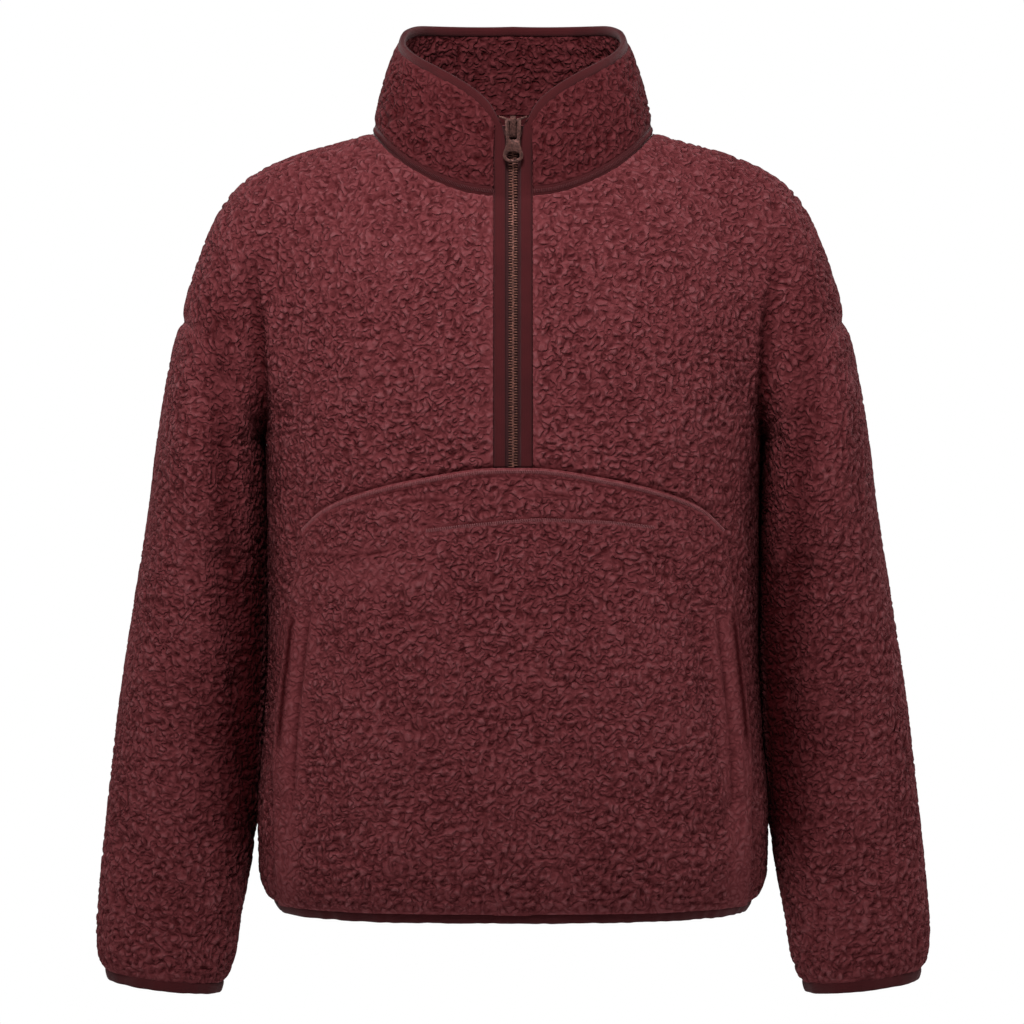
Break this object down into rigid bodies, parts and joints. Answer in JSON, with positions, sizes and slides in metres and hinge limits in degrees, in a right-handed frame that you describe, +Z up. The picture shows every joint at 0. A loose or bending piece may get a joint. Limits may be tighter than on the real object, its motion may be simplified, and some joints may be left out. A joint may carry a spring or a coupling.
{
  "type": "half-zip sherpa fleece pullover",
  "caption": "Half-zip pullover in curly sherpa fleece, hollow and filled out as when worn, with stand collar, drop shoulders, pouch pocket and knit bindings.",
  "frame": {"origin": "between the shoulders in the middle of the neck, at the height of the shoulder neck points", "axes": "+Z up, the front faces -Y, the wearer's left arm is at +X"},
  "size_m": [0.6674, 0.2445, 0.7796],
  "materials": {
    "sherpa": "matte curly pile in dusty burgundy",
    "binding_knit": "smooth matte knit",
    "zip_tape": "matte woven tape",
    "antique_brass": "dulled antique brass",
    "aged_bronze": "dark aged bronze"
  },
  "bodies": {
    "garment": {"back": "sherpa", "collar": "sherpa", "collar_binding": "binding_knit", "cuff_binding_left": "binding_knit", "cuff_binding_right": "binding_knit", "front": "sherpa", "hem_binding": "binding_knit", "neck_tape": "binding_knit", "pocket": "sherpa", "sleeve_left": "sherpa", "sleeve_right": "sherpa", "zip_binding_left": "binding_knit", "zip_binding_right": "binding_knit", "zip_slider": "aged_bronze", "zip_tape": "zip_tape", "zip_teeth": "antique_brass"},
    "pull_tab": {"zip_pull_tab": "aged_bronze"}
  },
  "joints": [
    {"name": "pull_tab_hinge", "type": "hinge", "parent": "garment", "child": "pull_tab", "pos_m": [0, -0.08472, 0.0007], "axis": [-1, 0, 0], "range_deg": [0, 160]}
  ]
}
